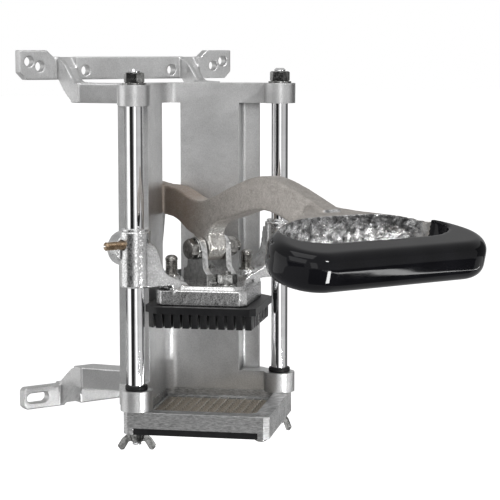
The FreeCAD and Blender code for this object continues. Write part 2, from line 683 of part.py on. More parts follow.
def head_casting():
    """Two rod bosses joined by curved wings to the square block that carries the push block."""
    top, high = size("head_top"), size("head_height")
    low = top - high
    boss = size("head_boss_radius")
    block_low, block_top, platform = size("block_bottom"), size("block_top"), size("platform_top")
    block = profile("head_block", "XY", diamond(size("block_half_diagonal"), 4.9), block_top - block_low,
                    (0, ROD_Y, block_low))
    raised = profile("head_platform", "XY", diamond(size("block_half_diagonal") - 8, 6.0),
                     platform - block_low, (0, ROD_Y, block_low))
    solids = [block, raised]
    depth = 30.0
    front = 15.0
    seat, seat_diameter, screw_x = size("push_screw_seat"), 19.0, size("push_screw_x")
    for side, mirror, crest in (("left", -1, LEFT_WING), ("right", 1, RIGHT_WING)):
        foot = [(x * mirror, z) for x, z in WING_FOOT]
        ends = [(ROD_X * mirror, low), (ROD_X * mirror, crest[0][1])]
        wing = profile(f"{side}_wing", "XZ", crest + foot + ends, depth, (0, ROD_Y - front + depth, 0))
        solids.append(wing)
        solids.append(cylinder(f"{side}_head_boss", boss * 2, high, (ROD_X * mirror, ROD_Y, low)))
        solids.append(cylinder(f"{side}_screw_seat", seat_diameter, seat - block_low,
                               (screw_x * mirror, ROD_Y, block_low)))
    solids.append(cylinder("drag_lug", 37.0, 18.0, (-ROD_X - 3, ROD_Y + 4, -183.0), ALONG_Y))
    tools = []
    for side, mirror in (("left", -1), ("right", 1)):
        tools.append(cylinder(f"{side}_bush_bore", size("bush_outer_diameter") + GAP * 2, high + 2,
                              (ROD_X * mirror, ROD_Y, low - 1)))
        tools.append(cylinder(f"{side}_screw_face", seat_diameter, 25.0, (screw_x * mirror, ROD_Y, seat)))
    tools.append(cylinder("lock_screw_hole", size("lock_screw_diameter") + GAP * 2, 30.0,
                          (-ROD_X - 40, ROD_Y, size("lock_screw_z")), ALONG_X))
    for tag, x, y in PUSH_HOLES:
        tools.append(cylinder(f"push_hole_{tag}", M8 + GAP * 2, 60.0, (x, y, block_low - 1)))
    for tag, y in CLEVIS_SCREWS:
        tools.append(cylinder(f"clevis_hole_{tag}", M6 + GAP * 2, 40.0, (0, y, block_low - 1)))
        tools.append(cylinder(f"clevis_sink_{tag}", 11.0, 8.0, (0, y, block_low - 1)))
    node("head_casting", cut("head", fuse("head_solid", *solids), *tools))


def guide_bushes():
    """A flanged bush at the top and a plain bush at the bottom of each rod boss."""
    both = [shifted(x=-ROD_X.value), shifted(x=ROD_X.value)]
    outer, sleeve = size("bush_outer_diameter"), 20.0
    top = size("head_top")
    low = top - size("head_height")
    flange = cylinder("upper_bush_flange", 28.0, 2.6, (0, ROD_Y, top))
    upper = cylinder("upper_bush_sleeve", outer, sleeve, (0, ROD_Y, top - sleeve))
    lower = cylinder("lower_bush_sleeve", outer, sleeve, (0, ROD_Y, low))
    for label, blank in (("upper_bushes", fuse("upper_bush_blank", flange, upper)), ("lower_bushes", lower)):
        bore = cylinder(f"{label}_bore", size("rod_diameter") + GAP * 2, 80.0, (0, ROD_Y, low - 5))
        group(label, cut(f"{label}_single", blank, bore), both)


def clevis_bracket():
    """Two ears on a foot, bolted to the head block from below."""
    half = size("lever_thickness") / 2 + 1.0
    ear = 7.0
    z, foot_low = size("pivot_z"), size("platform_top")
    foot_high = 11.0
    foot = box("clevis_foot", (half + ear) * 2, 46.0, foot_high, (0, ROD_Y, foot_low), centred=True)
    radius = 13.5
    slope, toe = radius * 0.7, 22.0
    outline = [(ROD_Y - toe, foot_low), (ROD_Y - toe, foot_low + foot_high),
               (ROD_Y - radius - 2, foot_low + 17), (ROD_Y - radius, z), (ROD_Y - slope, z + slope),
               (ROD_Y, z + radius), (ROD_Y + slope, z + slope), (ROD_Y + radius, z),
               (ROD_Y + radius + 2, foot_low + 17), (ROD_Y + toe, foot_low + foot_high),
               (ROD_Y + toe, foot_low)]
    ears = [profile(f"clevis_ear_{tag}", "YZ", outline, ear, (x, 0, 0), rounded=[3, 4, 5, 6, 7], radius=6.0)
            for tag, x in (("left", -half - ear), ("right", half))]
    bore = cylinder("clevis_bore", size("pivot_diameter") + GAP * 2, 60.0, (-30.0, ROD_Y, z), ALONG_X)
    holes = [cylinder(f"clevis_tap_{tag}", M6 + GAP * 2, 11.0, (0, y, foot_low - 1))
             for tag, y in CLEVIS_SCREWS]
    node("clevis_bracket", cut("clevis", fuse("clevis_solid", foot, *ears), bore, *holes))


def clevis_screws():
    low = size("block_bottom") + 1
    shank = cylinder("clevis_screw_shank", M6, size("platform_top") - low + 9.5, (0, 0, low))
    head = cylinder("clevis_screw_head", 10.0, 5.5, (0, 0, low))
    moves = [shifted(y=y.value) for _, y in CLEVIS_SCREWS]
    group("clevis_screws", fuse("clevis_screw", shank, head), moves)


def pivot_hardware():
    """The bolt that the lever turns on, its washers and its nut."""
    z = size("pivot_z")
    outer = size("lever_thickness") / 2 + 8.0
    thick = 2.0
    shank = cylinder("pivot_shank", size("pivot_diameter"), outer * 2 + thick * 2 + 17,
                     (-outer - thick, ROD_Y, z), ALONG_X)
    head = hexagon("pivot_head", 19.0, 7.5, (-outer - thick - 7.5, ROD_Y, z), ALONG_X)
    node("pivot_bolt", fuse("pivot_bolt_solid", shank, head))
    hole = size("pivot_diameter") + GAP * 2
    washers = []
    for tag, x in (("left", -outer - thick), ("right", outer)):
        disc = cylinder(f"pivot_washer_{tag}", 24.0, thick, (x, ROD_Y, z), ALONG_X)
        eye = cylinder(f"pivot_washer_{tag}_hole", hole, 8.0, (x - 3, ROD_Y, z), ALONG_X)
        washers.append(cut(f"pivot_washer_{tag}_ring", disc, eye))
    group("pivot_washers", fuse("pivot_washer_pair", *washers), [shifted()])
    nut = hexagon("pivot_nut_hex", 19.0, 10.5, (outer + thick, ROD_Y, z), ALONG_X)
    bore = cylinder("pivot_nut_bore", hole, 20.0, (outer, ROD_Y, z), ALONG_X)
    node("pivot_nut", cut("pivot_nut_body", nut, bore))


def push_block():
    """Plastic plate whose square teeth press the food through the blade grid."""
    top = size("block_bottom")
    plate_low = top - size("push_plate_thickness")
    plate = profile("push_plate", "XY", diamond(size("push_half_diagonal"), 3.8),
                    size("push_plate_thickness"), (0, ROD_Y, plate_low))
    side = GRID_HALF * 2 - size("tooth_gap")
    low = plate_low - size("tooth_length")
    teeth = box("tooth_field", side, side, size("tooth_length"), (0, ROD_Y, low), TURN_45, centred=True)
    grooves = []
    count = int(size("cell_count").value) - 1
    for turn in (45, 135):
        spin = Rotation(Vector(0, 0, 1), turn)
        for index in range(count):
            spot = spin.multVec(Vector(0, (index - (count - 1) / 2) * size("cell_pitch").value, 0))
            grooves.append(box(f"groove_{turn}_{index}", 140.0, size("tooth_gap"), size("tooth_length") + 1,
                               (spot.x, ROD_Y + spot.y, low - 1), spin, centred=True))
    thread = size("push_thread")
    taps = [cylinder(f"push_tap_{tag}", M8 + GAP * 2, thread + 1, (x, y, top - thread))
            for tag, x, y in PUSH_HOLES]
    toothed = cut("push_block_toothed", fuse("push_block_solid", plate, teeth), *grooves, *taps)
    reach = size("push_half_width")
    window = box("push_block_window", reach * 2, 200.0, 60.0, (-reach, ROD_Y - 100, top - 50))
    trimmed = doc.addObject("Part::Common", "push_block_trimmed")
    trimmed.Base, trimmed.Tool = toothed, window
    node("push_block", trimmed)


def push_fasteners():
    """Hex nuts on the front and back studs, tall black cap screws left and right."""
    low = size("block_bottom") - size("push_thread") + 0.1
    face = size("platform_top")
    stud = cylinder("push_stud", M8, face - low + 14.5, (0, 0, low))
    washer = cylinder("push_stud_washer", 21.0, 1.5, (0, 0, face))
    nut = hexagon("push_stud_nut", 18.0, 10.0, (0, 0, face + 1.5))
    (_, front), (_, back) = PUSH_STUDS
    group("push_studs", fuse("push_stud_solid", stud, washer, nut),
          [shifted(y=front.value, turn=25), shifted(y=back.value)])
    seat = size("push_screw_seat")
    shank = cylinder("push_screw_shank", M8, seat - low, (0, 0, low))
    collar = cylinder("push_screw_collar", 17.0, 1.6, (0, 0, seat))
    cap = cylinder("push_screw_cap", 13.4, 17.5, (0, 0, seat + 1.6))
    crown = cone("push_screw_crown", 6.7, 4.4, 3.0, (0, 0, seat + 19.1))
    group("push_screws", fuse("push_screw_solid", shank, collar, cap, crown),
          [shifted(x=x.value, y=ROD_Y.value) for _, x in PUSH_SCREWS])


def lock_screw():
    """Brass screw in the left boss that nips the bush to set the drag of the head."""
    tip = -ROD_X - size("bush_outer_diameter") / 2 - 0.2
    diameter, length, z = size("lock_screw_diameter"), 24.0, size("lock_screw_z")
    shank = cylinder("lock_screw_shank", diameter, length, (tip - length, ROD_Y, z), ALONG_X)
    slot = box("lock_screw_slot", 2.4, 11.0, 1.6, (tip - length - 1, ROD_Y - 5.5, z - 0.8))
    node("lock_screw", cut("lock_screw_solid", shank, slot))


# ---------------------------------------------------------------- lever
def smooth(points):
    """A smooth curve through points."""
    curve = Part.BSplineCurve()
    curve.interpolate([Vector(*point) for point in points])
    return curve.toShape()


def lever_arm():
    """The arm in side view: slotted tail, lobe round the pivot, humped neck and handle root."""
    x = -size("lever_thickness").value / 2
    top = [(x, -37, -122), (x, -60, -121), (x, -99, -124), (x, -121, -125.5), (x, -148, -133),
           (x, -168, -136.5), (x, -192, -132), (x, -224, -120.5), (x, -255, -110), (x, -285, -103.8),
           (x, -318, -107.5), (x, -360, -119.5), (x, -392, -130)]
    under = [(x, -384, -164), (x, -350, -152), (x, -316, -142), (x, -286, -138), (x, -250, -145),
             (x, -222, -152.5), (x, -199, -160), (x, -190, -172)]
    lobe = Part.Arc(Vector(x, -190, -172), Vector(x, -176, -201), Vector(x, -162, -174)).toShape()
    heel = [(x, -162, -174), (x, -148, -170.5), (x, -126, -160), (x, -105, -157), (x, -60, -153),
            (x, -44, -151)]
    tail = Part.Arc(Vector(x, -44, -151), Vector(x, -30, -137), Vector(x, -37, -122)).toShape()
    front = Part.makeLine(Vector(*top[-1]), Vector(*under[0]))
    wire = Part.Wire([smooth(top), front, smooth(under), lobe, smooth(heel), tail])
    return Part.Face(wire).extrude(Vector(-2 * x, 0, 0))


def ring_solid(grow, height, rounding):
    """The D handle as a plate with a D-shaped hole, in its own plane, top face at z = 0.

    "grow" moves the outside out and the hole in, so the grip's skin is the casting grown by its wall.
    """
    sides = []
    for flip in (1, -1):
        back = smooth([(0, 0, 0), (flip * 12, -20, 0), (flip * 37, -44 + grow, 0), (flip * 72, -65 + grow, 0),
                       (flip * (100 + grow * 0.7), -90 + grow * 0.7, 0), (flip * (115 + grow), -116, 0)])
        end = Part.Arc(Vector(flip * (115 + grow), -116, 0),
                       Vector(flip * (109 + grow * 0.8), -150 - grow * 0.7, 0),
                       Vector(flip * 82, -164.5 - grow, 0)).toShape()
        sides += [back, end]
    front = Part.makeLine(Vector(82, -164.5 - grow, 0), Vector(-82, -164.5 - grow, 0))
    outer = Part.Wire(Part.__sortEdges__(sides + [front]))
    hole_back, hole_front, hole_side = -60 - grow, -136 + grow, 97 - grow
    inner_sides = []
    for flip in (1, -1):
        inner_sides.append(smooth([(0, hole_back, 0), (flip * 35, hole_back - 1.5, 0),
                                   (flip * 66, hole_back - 9, 0), (flip * 88, hole_back - 22, 0),
                                   (flip * hole_side, -98, 0)]))
        inner_sides.append(smooth([(flip * hole_side, -98, 0), (flip * (hole_side - 3), -114, 0),
                                   (flip * (hole_side - 20), hole_front + 6, 0),
                                   (flip * 45, hole_front + 0.6, 0), (0, hole_front, 0)]))
    inner = Part.Wire(Part.__sortEdges__(inner_sides))
    plate = Part.Face(outer).extrude(Vector(0, 0, -height))
    opening = Part.Face(inner).extrude(Vector(0, 0, -height))
    plate = rim_rounded(plate, height, rounding)
    return plate.cut(opening)


def rim_rounded(plate, height, rounding):
    """Round the outer top and bottom rims of a plate that has no hole yet."""
    edges = [edge for edge in plate.Edges
             if abs(abs(edge.CenterOfMass.z + height / 2) - height / 2) < 1e-6]
    return plate.makeFillet(rounding, edges)


def ring_placement(rise):
    """Put the handle's plane on the arm; "rise" lifts the grip's skin off the casting."""
    tilt = Rotation(Vector(1, 0, 0), size("ring_tilt").value)
    base = Vector(0, size("ring_y").value, size("ring_z").value)
    return Placement(base + tilt.multVec(Vector(0, 0, rise)), tilt)


def lever():
    """The sand-cast lever with its handle core, and the vinyl dipped over the handle."""
    core_height, wall = size("ring_height").value, size("grip_wall").value
    core = ring_solid(0.0, core_height, 8.0)
    core.Placement = ring_placement(-wall)
    skin = ring_solid(wall, core_height + 2 * wall, 13.0)
    dip = size("dip_line").value
    window = Part.makeBox(400, 300, 200, Vector(-200, -300 - dip, -100))
    sleeve = skin.common(window)
    sleeve.Placement = ring_placement(0.0)
    grip = sleeve.cut(core)
    node("vinyl_grip", free_shape("vinyl_grip", largest(grip)))

    thick, tail = size("lever_thickness").value, size("tail_thickness").value
    casting = lever_arm().fuse(core)
    step_y, far = -98.0, 90.0
    for x in (tail / 2, -tail / 2 - far):
        casting = casting.cut(Part.makeBox(far, far, far, Vector(x, step_y, -200)))
    bore_radius = size("pivot_diameter").value / 2 + size("fit_gap").value
    pivot = Vector(-thick, size("rod_line_y").value, size("pivot_z").value)
    casting = casting.cut(Part.makeCylinder(bore_radius, thick * 2, pivot, Vector(1, 0, 0)))
    casting = casting.cut(tail_slot())
    node("lever_casting", free_shape("lever_casting", largest(casting.removeSplitter())))


def tail_slot():
    """Oblong hole in the tail; the link's pin runs along it as the lever swings."""
    radius = size("link_pin_diameter").value / 2 + 3.0
    y, z = size("tail_pin_y").value, size("tail_pin_z").value + 0.9
    front, back = y + 0.2, y + 19.7
    deep = 60
    middle = Part.makeBox(deep, back - front, radius * 2, Vector(-deep / 2, front, z - radius))
    ends = [Part.makeCylinder(radius, deep, Vector(-deep / 2, at, z), Vector(1, 0, 0))
            for at in (front, back)]
    return middle.fuse(ends)


def largest(shape):
    return max(shape.Solids, key=lambda solid: solid.Volume)


# ---------------------------------------------------------------- link
def link():
    """Two link plates with a shared pin in the lever's tail, and their anchor bolt on the column."""
    ay, az = size("anchor_y"), size("anchor_z")
    ty, tz = size("tail_pin_y"), size("tail_pin_z")
    run, rise = ty - ay, tz - az
    length = math.hypot(run.value, rise.value)
    lean = math.degrees(math.atan2(-run.value, rise.value))
    thick, width = size("link_thickness"), size("link_width")
    pin = size("link_pin_diameter")
    inner = size("tail_thickness") / 2 + 0.1
    outer = inner + thick
    upright = Rotation(Vector(1, 0, 0), lean)
    both_ends = (("low", 0), ("high", length))
    plates = []
    for tag, x in (("left", -outer), ("right", inner)):
        bar = box(f"link_bar_{tag}", thick, width, length, (0, -width / 2, 0))
        ends = [cylinder(f"link_{end}_{tag}", width, thick, (0, 0, up), ALONG_X) for end, up in both_ends]
        eyes = [cylinder(f"link_eye_{end}_{tag}", pin + GAP * 2, thick + 2, (-1, 0, up), ALONG_X)
                for end, up in both_ends]
        plate = cut(f"link_plate_{tag}", fuse(f"link_blank_{tag}", bar, *ends), *eyes)
        plates.append(place(plate, (x, ay, az), upright))
    group("link_plates", fuse("link_pair", *plates), [shifted()])
    node("link_pin", cylinder("link_pin_solid", pin, outer * 2 + 0.8, (-outer - 0.4, ty, tz), ALONG_X))
    spacer = cylinder("link_spacer_tube", 16.0, size("tail_thickness"),
                      (-size("tail_thickness") / 2, ay, az), ALONG_X)
    eye = cylinder("link_spacer_eye", pin + GAP * 2, 40.0, (-20.0, ay, az), ALONG_X)
    node("link_spacer", cut("link_spacer_solid", spacer, eye))
    lug = size("slot_half_width") + size("lug_thickness")
    shank = cylinder("anchor_shank", pin, lug * 2 + 12, (-lug, ay, az), ALONG_X)
    head = hexagon("anchor_head", 16.0, 6.4, (-lug - 6.4, ay, az), ALONG_X)
    node("anchor_bolt", fuse("anchor_bolt_solid", shank, head))
    nut = hexagon("anchor_nut_hex", 16.0, 8.0, (lug, ay, az), ALONG_X)
    bore = cylinder("anchor_nut_bore", pin + GAP * 2, 20.0, (lug - 2, ay, az), ALONG_X)
    node("anchor_nut", cut("anchor_nut_solid", nut, bore))


# ---------------------------------------------------------------- build, check and write
def check():
    doc.recompute()
    for feature in doc.Objects:
        if "Invalid" in feature.State or "Error" in feature.State:
            raise RuntimeError(f"{feature.Name} failed: {feature.State}")
    for feature in NODES:
        if feature.Shape.isNull() or not feature.Shape.isValid():
            raise RuntimeError(f"{feature.Label} has a bad shape")
        if not feature.Shape.Solids:
            raise RuntimeError(f"{feature.Label} holds no solid")


def write():
    os.makedirs("parts", exist_ok=True)
    for feature in NODES:
        feature.Shape.exportStep(f"parts/{feature.Label}.step")
        volume = feature.Shape.Volume / 1000
        print(f"{feature.Label:22s} {len(feature.Shape.Solids):3d} solids {volume:9.2f} cm3")


column_casting()
upper_wall_bracket()
lower_wall_bracket()
base_plate()
blade_cartridge()
blade_strips()
blade_grid()
corner_stud()
guide_rods()
rod_hardware()
wing_nuts()
head_casting()
guide_bushes()
clevis_bracket()
clevis_screws()
pivot_hardware()
push_block()
push_fasteners()
lock_screw()
lever()
link()
check()
write()
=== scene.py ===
"""Looks for the wall-mounted vegetable dicer: castings, threads, a dipped grip and a soft studio."""
import json
import math

import bmesh
import bpy
from mathutils import Matrix, Vector, noise


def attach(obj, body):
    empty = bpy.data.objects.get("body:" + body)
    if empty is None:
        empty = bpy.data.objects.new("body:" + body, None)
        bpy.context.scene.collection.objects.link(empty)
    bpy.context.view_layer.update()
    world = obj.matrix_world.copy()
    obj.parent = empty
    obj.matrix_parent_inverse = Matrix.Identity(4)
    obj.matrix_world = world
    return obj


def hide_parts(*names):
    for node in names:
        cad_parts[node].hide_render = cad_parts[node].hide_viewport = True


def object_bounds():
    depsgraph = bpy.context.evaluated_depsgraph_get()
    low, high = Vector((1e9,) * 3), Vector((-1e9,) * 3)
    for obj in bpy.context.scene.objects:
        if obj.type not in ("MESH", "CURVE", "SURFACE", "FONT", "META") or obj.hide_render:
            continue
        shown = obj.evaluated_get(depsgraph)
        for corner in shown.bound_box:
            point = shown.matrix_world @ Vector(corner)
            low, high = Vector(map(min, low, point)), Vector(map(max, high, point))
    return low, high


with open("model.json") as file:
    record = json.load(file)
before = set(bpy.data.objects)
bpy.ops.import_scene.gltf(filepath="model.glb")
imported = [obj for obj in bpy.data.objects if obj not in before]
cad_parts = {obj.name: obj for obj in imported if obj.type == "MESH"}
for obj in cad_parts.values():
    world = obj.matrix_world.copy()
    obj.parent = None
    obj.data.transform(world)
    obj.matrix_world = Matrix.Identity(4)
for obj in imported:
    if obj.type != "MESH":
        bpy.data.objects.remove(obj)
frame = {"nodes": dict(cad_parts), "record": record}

CAD_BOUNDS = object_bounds()
NODES = frame["nodes"]
RECORD = frame["record"]
SLOT_OF = {row["node"]: row["material_slot"] for row in RECORD["subparts"]}
BODY_OF = {node: body for body, nodes in RECORD["behaviour"]["bodies"].items() for node in nodes}
SCENE = bpy.context.scene

MM = 0.001
MIDDLE = Vector((0.0, -0.2, -0.2))    # what the lamp and the cards face, in metres

# ---------------------------------------------------------------- camera, light and floor
EYE_AT = (-0.9982, -1.6974, 0.0211)
EYE_AZIMUTH = 34.631
EYE_FALL = 6.613
EYE_LENS_MM = 123.32
SENSOR_MM = 36.0

WORLD_BRIGHTNESS = 0.52
FLOOR_DROP = 0.2
FLOOR_REACH = 19.0
FLOOR_GREY = 0.8
FLOOR_GLOW = 0.72
DOME_RADIUS = 28.0
WALL_DISTANCE = 9.0

# Bent upright cards: name, bearings of both ends, brightness, bottom and top in metres.
# A bearing turns from straight ahead of the object (-Y) towards its left (-X).
WALLS = (
    ("white_ahead", 17.0, 34.0, 1.9, -2.4, 4.0),
    ("dark_left", 51.0, 96.0, 0.02, -2.4, 0.6),
    ("dark_below", -60.0, 40.0, 0.05, -9.0, -3.4),
    ("pale_left", 100.0, 150.0, 1.3, -2.4, 4.0),
    ("pale_right", -46.0, -8.0, 0.6, -2.4, 3.0),
    ("dark_right", -110.0, -56.0, 0.12, -2.4, 4.0),
)
# Flat cards: name, place, width and height in metres, brightness.
CARDS = (
    ("key", (-2.4, -1.3, 1.3), 2.4, 1.6, 2.2),
    ("front_strip", (0.5, -0.95, -0.55), 1.6, 0.016, 12.0),
    ("high_window", (0.52, -2.37, 1.37), 0.26, 0.34, 60.0),
    ("low_window", (0.12, -1.14, -0.59), 0.13, 0.16, 50.0),
)
LAMP_AT = (-0.5, -0.7, 1.8)
LAMP_SIZE = 1.4
LAMP_WATTS = 12.0


def camera():
    """A long lens, to the left of the object and a little above it."""
    data = bpy.data.cameras.new("camera")
    data.sensor_width = SENSOR_MM
    data.lens = EYE_LENS_MM
    data.clip_end = 100.0
    eye = bpy.data.objects.new("camera", data)
    azimuth, fall = math.radians(EYE_AZIMUTH), math.radians(EYE_FALL)
    ahead = Vector((math.sin(azimuth) * math.cos(fall), math.cos(azimuth) * math.cos(fall), -math.sin(fall)))
    eye.location = EYE_AT
    eye.rotation_euler = ahead.to_track_quat("-Z", "Y").to_euler()
    SCENE.collection.objects.link(eye)
    SCENE.camera = eye


def facing_middle(place):
    return (MIDDLE - Vector(place)).to_track_quat("-Z", "Y").to_euler()


def glowing(name, brightness, grey=0.0):
    """A matt surface that gives off plain white light, or none."""
    made = plain(name, grey, 1.0)
    shader = made.node_tree.nodes["Principled BSDF"]
    shader.inputs["Specular IOR Level"].default_value = 0.0
    shader.inputs["Emission Color"].default_value = (1, 1, 1, 1)
    shader.inputs["Emission Strength"].default_value = brightness
    return made


def staged(name, mesh, material):
    """Put a mesh of the studio, which is no part of the object, in the scene."""
    mesh.materials.append(material)
    made = bpy.data.objects.new(name, mesh)
    SCENE.collection.objects.link(made)
    return made


def sheet(name, corners, faces, material):
    mesh = bpy.data.meshes.new(name)
    mesh.from_pydata(corners, [], faces)
    return staged(name, mesh, material)


def only_in_reflections(made):
    made.visible_camera = False
    made.visible_shadow = False
    made.visible_diffuse = False


def card(name, place, width, height, brightness):
    """A flat studio card that faces the object."""
    x, y = width / 2, height / 2
    corners = [(-x, -y, 0), (x, -y, 0), (x, y, 0), (-x, y, 0)]
    made = sheet(name, corners, [(0, 1, 2, 3)], glowing(f"{name}_face", brightness))
    made.location = place
    made.rotation_euler = facing_middle(place)
    only_in_reflections(made)


def wall(name, start, end, brightness, low, high):
    """A bent upright card round the object, between two bearings."""
    steps = 6
    corners = []
    for step in range(steps + 1):
        bearing = math.radians(start + (end - start) * step / steps)
        x, y = -math.sin(bearing) * WALL_DISTANCE, -math.cos(bearing) * WALL_DISTANCE
        corners += [(x, y, low), (x, y, high)]
    faces = [(i, i + 2, i + 3, i + 1) for i in range(0, steps * 2, 2)]
    only_in_reflections(sheet(name, corners, faces, glowing(f"{name}_face", brightness)))


def floor():
    """A pale floor that glows a little, so that it stays white."""
    reach, low = FLOOR_REACH, CAD_BOUNDS[0][2] - FLOOR_DROP
    corners = [(-reach, -reach, low), (reach, -reach, low), (reach, reach, low), (-reach, reach, low)]
    made = sheet("floor", corners, [(0, 1, 2, 3)], glowing("floor_paint", FLOOR_GLOW, FLOOR_GREY))
    made.visible_glossy = False


def backdrop():
    """A white dome that closes the view behind the object and gives no light."""
    mesh = bmesh.new()
    bmesh.ops.create_icosphere(mesh, subdivisions=4, radius=DOME_RADIUS)
    data = bpy.data.meshes.new("backdrop")
    mesh.to_mesh(data)
    mesh.free()
    dome = staged("backdrop", data, glowing("backdrop_face", 1.0))
    dome.visible_diffuse = False
    dome.visible_glossy = False
    dome.visible_transmission = False
    dome.visible_shadow = False


def overhead_lamp():
    data = bpy.data.lights.new("overhead", "AREA")
    data.size = LAMP_SIZE
    data.energy = LAMP_WATTS
    lamp = bpy.data.objects.new("overhead", data)
    lamp.location = LAMP_AT
    lamp.rotation_euler = facing_middle(LAMP_AT)
    SCENE.collection.objects.link(lamp)


def studio():
    """Pale floor, grey surroundings, white and dark cards, and one softbox overhead."""
    world = bpy.data.worlds.new("studio")
    SCENE.world = world
    world.use_nodes = True
    background = world.node_tree.nodes["Background"]
    background.inputs["Color"].default_value = (1, 1, 1, 1)
    background.inputs["Strength"].default_value = WORLD_BRIGHTNESS
    floor()
    backdrop()
    for row in WALLS:
        wall(*row)
    for row in CARDS:
        card(*row)
    overhead_lamp()


# ---------------------------------------------------------------- how a material is written
def as_rgb(value):
    """A grey or a colour as three numbers."""
    return value if isinstance(value, tuple) else (value, value, value)


def plain(name, colour, roughness):
    made = bpy.data.materials.new(name)
    made.use_nodes = True
    shader = made.node_tree.nodes["Principled BSDF"]
    shader.inputs["Base Color"].default_value = (*as_rgb(colour), 1)
    shader.inputs["Roughness"].default_value = roughness
    return made


class Graph:
    """A short way to write a material's nodes."""

    def __init__(self, name, metallic=1.0, shine=0.5):
        self.material = plain(name, 0.6, 0.4)
        self.tree = self.material.node_tree
        self.shader = self.tree.nodes["Principled BSDF"]
        self.shader.inputs["Metallic"].default_value = metallic
        self.shader.inputs["Specular IOR Level"].default_value = shine
        self.place = self.add("ShaderNodeTexCoord").outputs["Object"]

    def add(self, kind, **values):
        """A node with its sockets or settings given by name."""
        made = self.tree.nodes.new(kind)
        for key, value in values.items():
            if key in made.inputs:
                made.inputs[key].default_value = value
            else:
                setattr(made, key, value)
        return made

    def link(self, output, target):
        self.tree.links.new(output, target)

    def feed(self, socket, value):
        """Give a socket another node's output, or a value of its own."""
        if isinstance(value, bpy.types.NodeSocket):
            self.link(value, socket)
        elif socket.type == "RGBA":
            socket.default_value = (*as_rgb(value), 1)
        else:
            socket.default_value = value

    def stretched(self, scale):
        """The place, squeezed or stretched along each axis."""
        mapping = self.add("ShaderNodeMapping", Scale=scale)
        self.link(self.place, mapping.inputs["Vector"])
        return mapping.outputs["Vector"]

    def noise(self, scale, detail, roughness, where=None):
        made = self.add("ShaderNodeTexNoise", Scale=scale, Detail=detail, Roughness=roughness)
        self.link(where or self.place, made.inputs["Vector"])
        return made.outputs["Fac"]

    def cells(self, scale):
        made = self.add("ShaderNodeTexVoronoi", Scale=scale)
        self.link(self.place, made.inputs["Vector"])
        return made.outputs["Distance"]

    def open_air(self, reach_mm, own_corners_only=True):
        """One on open faces, falling towards nought in corners and under ledges."""
        made = self.add("ShaderNodeAmbientOcclusion", Distance=reach_mm * MM, samples=8,
                        only_local=own_corners_only)
        return made.outputs["AO"]

    def facing(self, direction, least, most):
        """Nought to one as the part's own surface turns towards a direction."""
        dot = self.add("ShaderNodeVectorMath", operation="DOT_PRODUCT")
        self.link(self.add("ShaderNodeTexCoord").outputs["Normal"], dot.inputs[0])
        dot.inputs[1].default_value = direction
        return self.ramp(dot.outputs["Value"], (least, 0.0), (most, 1.0))

    def near(self, centre_mm, inner_mm, outer_mm):
        """One near a point of the object, falling to nought further away."""
        away = self.add("ShaderNodeVectorMath", operation="DISTANCE")
        self.link(self.place, away.inputs[0])
        away.inputs[1].default_value = [value * MM for value in centre_mm]
        fall = self.add("ShaderNodeMapRange", interpolation_type="SMOOTHSTEP")
        self.link(away.outputs["Value"], fall.inputs["Value"])
        fall.inputs["From Min"].default_value = inner_mm * MM
        fall.inputs["From Max"].default_value = outer_mm * MM
        fall.inputs["To Min"].default_value = 1.0
        fall.inputs["To Max"].default_value = 0.0
        return fall.outputs["Result"]

    def ramp(self, source, *stops):
        """A colour ramp; each stop is a position and a grey or a colour."""
        made = self.add("ShaderNodeValToRGB")
        points = made.color_ramp.elements
        while len(points) < len(stops):
            points.new(0.5)
        for point, (position, value) in zip(points, stops):
            point.position = position
            point.color = (*as_rgb(value), 1)
        self.link(source, made.inputs["Fac"])
        return made.outputs["Color"]

    def mix(self, first, second, amount):
        """Blend two colours; all three can be a value or another node's output."""
        made = self.add("ShaderNodeMix", data_type="RGBA")
        self.feed(made.inputs[0], amount)
        sockets = [socket for socket in made.inputs if socket.type == "RGBA"]
        for socket, value in zip(sockets, (first, second)):
            self.feed(socket, value)
        return [socket for socket in made.outputs if socket.type == "RGBA"][0]

    def colour(self, output):
        self.link(output, self.shader.inputs["Base Color"])

    def gloss(self, output):
        self.link(output, self.shader.inputs["Roughness"])

    def bump(self, *layers):
        """Stack bumps; each layer is a height and its depth in millimetres."""
        normal = None
        for height, depth in layers:
            made = self.add("ShaderNodeBump", Strength=1.0, Distance=depth * MM)
            self.link(height, made.inputs["Height"])
            if normal is not None:
                self.link(normal, made.inputs["Normal"])
            normal = made.outputs["Normal"]
        self.link(normal, self.shader.inputs["Normal"])


# ---------------------------------------------------------------- materials
PAINTED_CORNER_SHADE = 0.35                        # how dark the painted shade in the corners is, against the dark tone
TO_USER = (0, -1, 0)
# Places on the lever, in millimetres, that have a look of their own.
TAIL_AT = (0, -120, -145)
PIVOT_AT = (0, -200, -180)
HANDLE_AT = (0, -470, -150)


def cast_metal(name, light, dark, roughness, grain_mm, depth_mm, dent_mm):
    """Sand or die casting: fine grain, faint blotches, shallow dents, and painted shade that darkens the
    corners.
    """
    g = Graph(name)
    grain = g.noise(1 / (grain_mm * MM), 4.0, 0.65)
    blotches = g.noise(38.0, 5.0, 0.6)
    blotch_tone = g.ramp(blotches, (0.35, dark), (0.65, light))
    grain_tone = g.ramp(grain, (0.32, dark), (0.66, light))
    # Painted shade: the colour darkens in corners and under ledges, where ambient occlusion finds the part
    # closed in.
    outside_painted_shade = g.ramp(g.open_air(7.0), (0.3, 0.0), (0.8, 1.0))
    g.colour(g.mix(dark * PAINTED_CORNER_SHADE, g.mix(blotch_tone, grain_tone, 0.6), outside_painted_shade))
    g.gloss(g.ramp(grain, (0.3, roughness + 0.12), (0.7, roughness - 0.10)))
    g.bump((g.noise(150.0, 2.0, 0.5), dent_mm), (grain, depth_mm))
    return g.material


